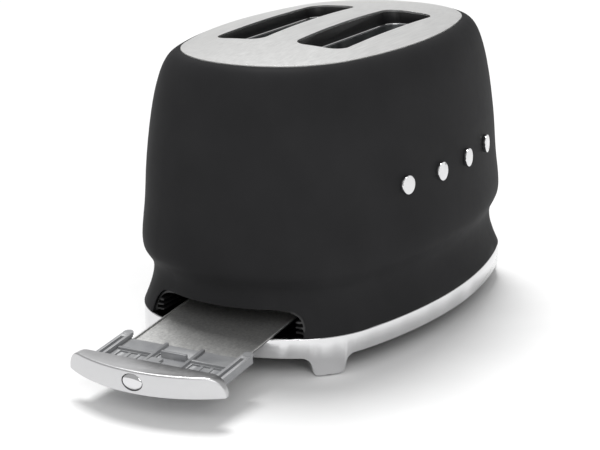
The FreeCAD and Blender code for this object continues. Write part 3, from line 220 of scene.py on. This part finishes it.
def satin_plate():
    """Satin chrome on the moulded tray front: bright, with a soft edge to its reflections."""
    material, sockets, place = start_material("satin_plate", "#CDCDCE", 0.34, metallic=1.0)
    haze = add_node(material, NOISE, {"Scale": per_mm(3), "Detail": 3}, Vector=place)
    add_node(material, RANGE, {"To Min": 0.3, "To Max": 0.4}, sockets["Roughness"], Value=haze)
    grain = add_node(material, NOISE, {"Scale": per_mm(0.6), "Detail": 3}, Vector=place)
    add_node(material, BUMP, {"Strength": 0.05, "Distance": 0.02 * MM}, sockets["Normal"], Height=grain)
    return material


def black_nylon():
    """Glass-filled nylon: black, dull, with a fine spark-eroded grain."""
    material, sockets, place = start_material("black_nylon", "#101011", 0.5, ior=1.53)
    haze = add_node(material, NOISE, {"Scale": per_mm(2), "Detail": 3}, Vector=place)
    add_node(material, RANGE, {"To Min": 0.42, "To Max": 0.58}, sockets["Roughness"], Value=haze)
    grain = add_node(material, NOISE, {"Scale": per_mm(0.5), "Detail": 3}, Vector=place)
    add_node(material, BUMP, {"Strength": 0.2, "Distance": 0.06 * MM}, sockets["Normal"], Height=grain)
    return material


def grey_abs():
    """Grey moulded ABS: mid grey and slightly shiny, with a fine mould grain."""
    material, sockets, place = start_material("grey_abs", "#8E8F90", 0.42, ior=1.54)
    cloud = add_node(material, NOISE, {"Scale": per_mm(12), "Detail": 3}, Vector=place)
    add_node(material, RAMP, {"stops": ("#86878A", "#959697")}, sockets["Base Color"], Fac=cloud)
    haze = add_node(material, NOISE, {"Scale": per_mm(2), "Detail": 3}, Vector=place)
    add_node(material, RANGE, {"To Min": 0.34, "To Max": 0.5}, sockets["Roughness"], Value=haze)
    grain = add_node(material, NOISE, {"Scale": per_mm(0.6), "Detail": 3}, Vector=place)
    add_node(material, BUMP, {"Strength": 0.15, "Distance": 0.05 * MM}, sockets["Normal"], Height=grain)
    return material


def dull_tray_steel():
    """Aluminised sheet: a mottled dull grey where the coating froze in patches of a few millimetres."""
    material, sockets, place = start_material("dull_tray_steel", "#C2C2C1", 0.5, metallic=0.85)
    patch = {"Scale": per_mm(1.8), "Detail": 5, "Roughness": 0.65}
    patches = add_node(material, NOISE, patch, Vector=place)
    add_node(material, RAMP, {"stops": ("#B0B0AF", "#D2D2D0")}, sockets["Base Color"], Fac=patches)
    haze = add_node(material, NOISE, {"Scale": per_mm(3), "Detail": 5}, Vector=place)
    add_node(material, RANGE, {"To Min": 0.34, "To Max": 0.58}, sockets["Roughness"], Value=haze)
    grain = add_node(material, NOISE, {"Scale": per_mm(1.2), "Detail": 3}, Vector=place)
    add_node(material, BUMP, {"Strength": 0.12, "Distance": 0.05 * MM}, sockets["Normal"], Height=grain)
    return material


def zinc_sheet():
    """Galvanised sheet inside: cool grey with a soft spangle."""
    material, sockets, place = start_material("zinc_sheet", "#9C9E9F", 0.4, metallic=1.0)
    spangle = add_node(material, NOISE, {"Scale": per_mm(8), "Detail": 4}, Vector=place)
    add_node(material, RAMP, {"stops": ("#85888A", "#ACAEAF")}, sockets["Base Color"], Fac=spangle)
    haze = add_node(material, NOISE, {"Scale": per_mm(4), "Detail": 3}, Vector=place)
    add_node(material, RANGE, {"To Min": 0.3, "To Max": 0.52}, sockets["Roughness"], Value=haze)
    return material


def mica_board():
    """Pressed mica: tan and flaky, with darker specks."""
    material, sockets, place = start_material("mica_board", "#9A8C6C", 0.55, ior=1.58)
    speck = {"Scale": per_mm(1.5), "Detail": 6, "Roughness": 0.75}
    flakes = add_node(material, NOISE, speck, Vector=place)
    add_node(material, RAMP, {"stops": ("#6F6248", "#B2A482")}, sockets["Base Color"], Fac=flakes)
    grain = add_node(material, NOISE, {"Scale": per_mm(1.0), "Detail": 3}, Vector=place)
    add_node(material, BUMP, {"Strength": 0.2, "Distance": 0.05 * MM}, sockets["Normal"], Height=grain)
    return material


def nichrome_ribbon():
    """Heating ribbon that has been hot: a dull brown-grey oxide."""
    material, sockets, place = start_material("nichrome_ribbon", "#6E655C", 0.5, metallic=1.0)
    along = add_node(material, STRETCH, {"Scale": (0.3, 1, 1)}, Vector=place)
    scorch = add_node(material, NOISE, {"Scale": per_mm(4), "Detail": 3}, Vector=along)
    add_node(material, RAMP, {"stops": ("#574D44", "#80776D")}, sockets["Base Color"], Fac=scorch)
    return material


def green_board():
    """Solder-masked glass-epoxy board: deep green with a soft shine."""
    material, sockets, place = start_material("green_board", "#1C5230", 0.35, ior=1.55)
    along = add_node(material, STRETCH, {"Scale": (1, 0.4, 0.4)}, Vector=place)
    weave = add_node(material, NOISE, {"Scale": per_mm(2), "Detail": 3}, Vector=along)
    add_node(material, RAMP, {"stops": ("#17472A", "#225E38")}, sockets["Base Color"], Fac=weave)
    return material


def enamelled_copper():
    """Fine enamelled wire wound close: copper with a fine ring pattern, drawn 0.6 mm apart to show."""
    material, sockets, place = start_material("enamelled_copper", "#A8602F", 0.3, metallic=1.0)
    waves_per_scale = 20
    ring = {"Scale": per_mm(0.6) / waves_per_scale, "bands_direction": "Z"}
    rings = add_node(material, "ShaderNodeTexWave", ring, Vector=place).outputs["Fac"]
    add_node(material, RAMP, {"stops": ("#8A4A22", "#BE7440")}, sockets["Base Color"], Fac=rings)
    add_node(material, BUMP, {"Strength": 0.3, "Distance": 0.1 * MM}, sockets["Normal"], Height=rings)
    return material


def soft_rubber():
    """Black rubber pad: dull and dusty."""
    material, sockets, place = start_material("soft_rubber", "#1A1A1A", 0.8, ior=1.52)
    dust = add_node(material, NOISE, {"Scale": per_mm(3), "Detail": 3}, Vector=place)
    add_node(material, RAMP, {"stops": ("#151515", "#222222")}, sockets["Base Color"], Fac=dust)
    grain = add_node(material, NOISE, {"Scale": per_mm(0.7), "Detail": 3}, Vector=place)
    add_node(material, BUMP, {"Strength": 0.2, "Distance": 0.06 * MM}, sockets["Normal"], Height=grain)
    return material


def studio_paper():
    """Seamless white paper."""
    material, sockets, place = start_material("studio_paper", "#F4F4F4", 0.75, ior=1.45)
    cloud = add_node(material, NOISE, {"Scale": per_mm(60), "Detail": 3}, Vector=place)
    add_node(material, RAMP, {"stops": ("#F2F2F2", "#F6F6F6")}, sockets["Base Color"], Fac=cloud)
    return material


FINISHES = {
    "body_paint": matt_powder_coat(), "plate_steel": satin_pressed_steel(), "chrome": bright_plate(),
    "black_plastic": black_nylon(), "grey_plastic": grey_abs(), "sheet_steel": zinc_sheet(),
    "tray_steel": dull_tray_steel(), "mica": mica_board(), "heating_ribbon": nichrome_ribbon(),
    "circuit_board": green_board(), "winding": enamelled_copper(), "rubber": soft_rubber(),
    "satin_plate": satin_plate(),
}


# ---------------------------------------------------------------- pieces

def only(piece):
    """Selects one piece and nothing else."""
    bpy.ops.object.select_all(action="DESELECT")
    piece.select_set(True)
    bpy.context.view_layer.objects.active = piece


def finish_piece(piece, node, material):
    """Gives a finished piece its material and its body, and hides the node that it stands for."""
    piece.data.materials.clear()
    piece.data.materials.append(material)
    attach(piece, BODY_OF[node])
    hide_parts(node)


def apply_modifier(piece, kind, **settings):
    """Adds a modifier with its settings and applies it."""
    only(piece)
    modifier = piece.modifiers.new(kind.lower(), kind)
    for key, value in settings.items():
        setattr(modifier, key, value)
    bpy.ops.object.modifier_apply(modifier=modifier.name)


def dressed(node, name, material, bevel_mm, segments=2):
    """A made-up copy of a node's form: welded, with its edges broken and its curves smoothed."""
    piece = NODES[node].copy()
    piece.data = NODES[node].data.copy()
    piece.name = name
    for key in list(piece.keys()):
        del piece[key]
    piece.parent = None
    piece.matrix_world = Matrix.Identity(4)
    bpy.context.scene.collection.objects.link(piece)
    only(piece)
    bpy.ops.object.mode_set(mode="EDIT")
    bpy.ops.mesh.select_all(action="SELECT")
    bpy.ops.mesh.remove_doubles(threshold=WELD)
    bpy.ops.mesh.dissolve_limited(angle_limit=FLAT)
    bpy.ops.object.mode_set(mode="OBJECT")
    apply_modifier(piece, "BEVEL", width=bevel_mm * MM, segments=segments, limit_method="ANGLE",
                   angle_limit=EDGE_ANGLE, harden_normals=True)
    bpy.ops.object.shade_smooth_by_angle(angle=EDGE_ANGLE)
    finish_piece(piece, node, material)


def start_block(name, low, high):
    """A block added at its size and place, ready to be shaped."""
    bpy.ops.object.select_all(action="DESELECT")
    low, high = Vector(low), Vector(high)
    bpy.ops.mesh.primitive_cube_add(size=1, location=(low + high) / 2)
    piece = bpy.context.object
    piece.name = name
    piece.scale = high - low
    bpy.ops.object.transform_apply(location=True, rotation=True, scale=True)
    return piece


def break_edges(piece, width_mm, segments=2, angle=EDGE_ANGLE):
    """Rounds a piece's sharp edges a little and smooths it, with its flat faces kept flat."""
    apply_modifier(piece, "BEVEL", width=width_mm * MM, segments=segments, limit_method="ANGLE",
                   angle_limit=angle)
    bpy.ops.object.shade_smooth_by_angle(angle=angle)
    apply_modifier(piece, "WEIGHTED_NORMAL", keep_sharp=True)


def settle(piece, place):
    """Moves a piece into place and leaves its object at the origin."""
    only(piece)
    piece.matrix_world = place
    bpy.ops.object.transform_apply(location=True, rotation=True, scale=True)


def tray_place():
    """The tray's own frame, along its slope, at its drawn-out place."""
    out = Vector((math.cos(TRAY_SLOPE), 0, math.sin(TRAY_SLOPE))) * TRAY_DRAW
    return Matrix.Translation(SILL - out) @ Matrix.Rotation(-TRAY_SLOPE, 4, "Y")


def start_rod(radius, length, middle, sides, turn=(0, 0, 0)):
    """A round rod added at its size and place, upright unless it is turned."""
    bpy.ops.object.select_all(action="DESELECT")
    bpy.ops.mesh.primitive_cylinder_add(vertices=sides, radius=radius, depth=length, rotation=turn,
                                        location=middle)
    bpy.ops.object.transform_apply(location=True, rotation=True, scale=True)
    return bpy.context.object


def join_pieces(pieces, name):
    """Makes several pieces one, under a new name."""
    bpy.ops.object.select_all(action="DESELECT")
    for piece in pieces:
        piece.select_set(True)
    bpy.context.view_layer.objects.active = pieces[0]
    bpy.ops.object.join()
    pieces[0].name = name
    return pieces[0]


def steel_tray():
    """The folded tray: a thin floor with a hole and a slot at its front, low walls and rolled top edges."""
    low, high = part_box("crumb_tray")
    roll_radius, roll_up = 0.7 * MM, 1.6 * MM
    half = (high.y - low.y) / 2 - 0.3 * MM
    front, back = 55.0 * MM, 221.0 * MM
    under, sheet, wall, end_wall = 0.4 * MM, 0.8 * MM, 1.9 * MM, 1.2 * MM
    walls_from = front + 4.2 * MM
    floor = start_block("steel_tray", (front, -half, under), (back, half, under + sheet))
    hole = start_block("hole", (front + 3.0 * MM, 9.6 * MM, -MM), (front + 5.6 * MM, 12.2 * MM, 3 * MM))
    slot = start_block("slot", (front + 3.5 * MM, -8 * MM, -MM), (front + 5.5 * MM, 4 * MM, 3 * MM))
    for tool, corner in ((hole, 1.2), (slot, 0.9)):
        apply_modifier(tool, "BEVEL", width=corner * MM, segments=5, limit_method="ANGLE")
        apply_modifier(floor, "BOOLEAN", operation="DIFFERENCE", object=tool, solver="EXACT")
        bpy.data.objects.remove(tool)
    break_edges(floor, 0.12)
    parts = [floor]
    for side in (1, -1):
        edge = side * (half - sheet)
        face = start_block("wall", (walls_from, min(edge, side * half), under),
                           (back, max(edge, side * half), under + wall))
        break_edges(face, 0.15)
        middle = ((back + walls_from) / 2, side * (half - 0.4 * roll_radius), roll_up)
        roll = start_rod(roll_radius, back - walls_from, middle, 20, turn=(0, math.pi / 2, 0))
        break_edges(roll, 0.2)
        parts += [face, roll]
    end = start_block("end", (back - sheet, -half, under), (back, half, under + end_wall))
    break_edges(end, 0.12)
    tray = join_pieces(parts + [end], "steel_tray")
    settle(tray, tray_place())
    finish_piece(tray, "crumb_tray", FINISHES["tray_steel"])


def raise_dome(crown, power, rings, centre):
    """Draws the selected face in to a dome, ring by ring, closes it and turns its normals out.

    A power of 1 gives a round dome, and 2 one that flattens towards its rim as well.
    """
    share, height = 1.0, 0.0
    for ring in range(1, rings):
        turn = ring / rings * math.pi / 2
        smaller, higher = math.cos(turn), crown * math.sin(turn) ** power
        bpy.ops.mesh.extrude_region_move(TRANSFORM_OT_translate={"value": (0, 0, higher - height)})
        bpy.ops.transform.resize(value=(smaller / share, smaller / share, 1), center_override=centre)
        share, height = smaller, higher
    bpy.ops.mesh.poke()
    bpy.ops.mesh.select_all(action="SELECT")
    bpy.ops.mesh.normals_make_consistent(inside=False)
    bpy.ops.object.mode_set(mode="OBJECT")


def oval_button():
    """The release button: an oval disc drawn out to its depth, raised to a shallow dome, on its stem."""
    low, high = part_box("tray_button")
    wide, tall = 14.0 * MM, 9.8 * MM
    rim, dome, stem_radius = 1.1 * MM, 1.7 * MM, 2.0 * MM
    middle = (low.z + high.z) / 2
    bpy.ops.object.select_all(action="DESELECT")
    bpy.ops.mesh.primitive_circle_add(vertices=64, radius=1, fill_type="NGON")
    button = bpy.context.object
    button.scale = (wide / 2, tall / 2, 1)
    bpy.ops.object.transform_apply(location=True, rotation=True, scale=True)
    bpy.ops.object.mode_set(mode="EDIT")
    bpy.ops.mesh.select_all(action="SELECT")
    bpy.ops.mesh.extrude_region_move(TRANSFORM_OT_translate={"value": (0, 0, rim)})
    raise_dome(dome, 1, 10, (0, 0, rim))
    break_edges(button, 0.25, angle=math.radians(50))
    reach = high.x - low.x - rim - dome
    stem = start_rod(stem_radius, reach, (0, 0, -reach / 2), 24)
    break_edges(stem, 0.2)
    button = join_pieces([button, stem], "oval_button")
    facing = Vector((-1, 0, 0)).to_track_quat("Z", "Y").to_matrix().to_4x4()
    settle(button, Matrix.Translation((low.x + rim + dome, 0, middle)) @ facing)
    finish_piece(button, "tray_button", FINISHES["chrome"])


def bowed_plan(length, width, side_bow, end_bow, corner_r):
    """Points round a plan of eight tangent arcs: two bowed sides, two bowed ends, four corners."""
    side_r = length ** 2 / (8 * side_bow) + side_bow / 2
    end_r = width ** 2 / (8 * end_bow) + end_bow / 2
    side = Vector((0, width / 2 - side_r))
    end = Vector((length / 2 - end_r, 0))
    apart = (end - side).length
    along = ((side_r - corner_r) ** 2 - (end_r - corner_r) ** 2 + apart ** 2) / (2 * apart)
    across = math.sqrt((side_r - corner_r) ** 2 - along ** 2)
    unit = (end - side).normalized()
    corner = side + unit * along + Vector((unit.y, -unit.x)) * across
    turn_end = math.atan2(corner.y - end.y, corner.x - end.x)
    turn_side = math.atan2(corner.y - side.y, corner.x - side.x)
    quarter = []
    arcs = ((end, end_r, 0, turn_end, 12), (corner, corner_r, turn_end, turn_side, 14),
            (side, side_r, turn_side, math.pi / 2, 22))
    for centre, radius, start, stop, steps in arcs:
        for step in range(steps):
            angle = start + (stop - start) * step / steps
            quarter.append((centre.x + radius * math.cos(angle), centre.y + radius * math.sin(angle)))
    top = (0.0, width / 2)
    upper = quarter + [top] + [(-x, y) for x, y in reversed(quarter)]
    return upper + [(x, -y) for x, y in reversed(upper[1:-1])]


def slot_tool(node, grow, foot, top):
    """A bread slot as an upright block with rounded corners, grown or shrunk from its collar's bore."""
    low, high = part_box(node)
    wall = COLLAR_WALL - grow
    block = start_block("slot_tool", (low.x + wall, low.y + wall, foot), (high.x - wall, high.y - wall, top))
    bpy.ops.object.mode_set(mode="EDIT")
    bpy.ops.mesh.select_mode(type="EDGE")
    bpy.ops.mesh.select_all(action="DESELECT")
    bpy.ops.object.mode_set(mode="OBJECT")
    for edge in block.data.edges:
        first, second = (block.data.vertices[index].co for index in edge.vertices)
        edge.select = abs(first.z - second.z) > (top - foot) / 2
    bpy.ops.object.mode_set(mode="EDIT")
    bpy.ops.mesh.bevel(offset=SLOT_CORNER, segments=10, affect="EDGES")
    bpy.ops.object.mode_set(mode="OBJECT")
    return block


def pressed_top():
    """The domed top plate: its plan drawn in ring by ring to the crown, hollowed, with both slots cut."""
    low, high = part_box("top_plate")
    plan = bowed_plan(high.x - low.x, high.y - low.y, PLATE_SIDE_BOW, PLATE_END_BOW, PLATE_CORNER)
    middle_x = (low.x + high.x) / 2
    rim_z = low.z + PLATE_EDGE
    bpy.ops.object.select_all(action="DESELECT")
    bpy.ops.mesh.primitive_circle_add(vertices=len(plan), radius=0.1, fill_type="NGON",
                                      location=(middle_x, 0, low.z))
    plate = bpy.context.object
    plate.name = "pressed_top"
    bpy.ops.object.transform_apply(location=True, rotation=True, scale=True)
    for vertex, (x, y) in zip(plate.data.vertices, plan):
        vertex.co = (middle_x + x, y, low.z)
    bpy.ops.object.mode_set(mode="EDIT")
    bpy.ops.mesh.select_all(action="SELECT")
    bpy.ops.mesh.extrude_region_move(TRANSFORM_OT_translate={"value": (0, 0, PLATE_EDGE)})
    raise_dome(high.z - rim_z, 2, 22, (middle_x, 0, rim_z))
    hollow = plate.copy()
    hollow.data = plate.data.copy()
    bpy.context.scene.collection.objects.link(hollow)
    land_long, land_wide, drop, past = 0.968, 0.945, 0.4 * MM, 5 * MM
    thin = PLATE_WALL / (high.z - low.z)
    scale = Matrix.Diagonal((land_long, land_wide, 1 - thin, 1))
    base = Vector((middle_x, 0, low.z))
    settle(hollow, Matrix.Translation(base - Vector((0, 0, drop))) @ scale @ Matrix.Translation(-base))
    tools = [hollow]
    for word in ("left", "right"):
        tools.append(slot_tool(f"slot_collar_{word}", 0, low.z - past, high.z + past))
    for tool in tools:
        apply_modifier(plate, "BOOLEAN", operation="DIFFERENCE", object=tool, solver="EXACT")
        bpy.data.objects.remove(tool)
    break_edges(plate, 0.5, segments=3, angle=math.radians(40))
    finish_piece(plate, "top_plate", FINISHES["plate_steel"])


def liner_edge(word):
    """The rolled top edge of a slot's steel liner, a bright round bead just inside the dark collar."""
    low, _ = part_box(f"slot_collar_{word}")
    inside, bead_up, bead_radius = 0.9 * MM, 0.5 * MM, 0.8 * MM
    block = slot_tool(f"slot_collar_{word}", -inside, low.z - MM, low.z + bead_up)
    bpy.ops.object.mode_set(mode="EDIT")
    bpy.ops.mesh.select_mode(type="VERT")
    bpy.ops.mesh.select_all(action="DESELECT")
    bpy.ops.object.mode_set(mode="OBJECT")
    for vertex in block.data.vertices:
        vertex.select = vertex.co.z < low.z
    bpy.ops.object.mode_set(mode="EDIT")
    bpy.ops.mesh.delete(type="VERT")
    bpy.ops.mesh.select_all(action="SELECT")
    bpy.ops.mesh.delete(type="ONLY_FACE")
    bpy.ops.object.mode_set(mode="OBJECT")
    only(block)
    bpy.ops.object.convert(target="CURVE")
    bead = bpy.context.object
    bead.name = f"liner_edge_{word}"
    bead.data.bevel_depth = bead_radius
    bead.data.bevel_resolution = 4
    bpy.ops.object.convert(target="MESH")
    bead = bpy.context.object
    bpy.ops.object.shade_smooth()
    bead.data.materials.clear()
    bead.data.materials.append(FINISHES["chrome"])
    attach(bead, "housing")


# each dressed node's new name, its finish, its bevel in mm and, where it isn't 2, the bevel's segments
DRESSED = {
    "outer_shell": ("painted_shell", "body_paint", 0.4),
    "base_band": ("bright_band", "chrome", 0.4),
    "tray_carrier": ("moulded_carrier", "grey_plastic", 0.25),
    "slot_collar_left": ("left_collar", "black_plastic", 0.3),
    "slot_collar_right": ("right_collar", "black_plastic", 0.3),
    "side_studs": ("round_studs", "chrome", 0.6),
    "lever_knob": ("lever_handle", "chrome", 0.5),
    "browning_knob": ("browning_dial", "chrome", 0.4),
    "browning_bezel": ("dial_ring", "chrome", 0.3),
    "tray_mouth_frame": ("mouth_lining", "black_plastic", 0.2),
    "foot_pads": ("rubber_pads", "rubber", 0.3),
}
for button_node in ("stop_button", "reheat_button", "defrost_button", "bagel_button", "button_bezels",
                    "lever_slot_trim"):
    DRESSED[button_node] = (button_node + "_made", "chrome", 0.25)
DRESSED["tray_fascia"] = ("bowed_front", "satin_plate", 0.5, 3)
MODELLED = ("top_plate", "crumb_tray", "tray_button")

for node, (name, finish, *bevel) in DRESSED.items():
    dressed(node, name, FINISHES[finish], *bevel)
pressed_top()
steel_tray()
oval_button()
for side_word in ("left", "right"):
    liner_edge(side_word)

for node, piece in NODES.items():
    if node not in DRESSED and node not in MODELLED:
        piece.data.materials.clear()
        piece.data.materials.append(FINISHES[SLOT_OF[node]])


# ---------------------------------------------------------------- surroundings

def lay_floor():
    """A sheet of paper, wide enough to fill every view."""
    bpy.ops.object.select_all(action="DESELECT")
    bpy.ops.mesh.primitive_plane_add(size=12, location=(body_x, 0, 0))
    floor = bpy.context.object
    floor.name = "floor"
    floor.data.materials.append(studio_paper())


def light_studio():
    """An even white room, a soft key from above and behind, and a wide fill from the camera's side."""
    world = bpy.data.worlds.new("studio")
    bpy.context.scene.world = world
    world.use_nodes = True
    room = world.node_tree.nodes["Background"].inputs
    room["Color"].default_value = linear("#FFFFFF")
    room["Strength"].default_value = 0.5
    add_sun(towards=Vector((0.5, 0.45, 1.6)), strength=2.2, spread_degrees=25)
    add_lamp("fill", spot=(body_x - 1.3, -0.9, 1.0), target=(body_x, 0, 0.1), power=9, wide=1.2, high=1.0)


lay_floor()
bpy.context.scene.view_settings.view_transform = "Standard"
light_studio()
aim_camera()
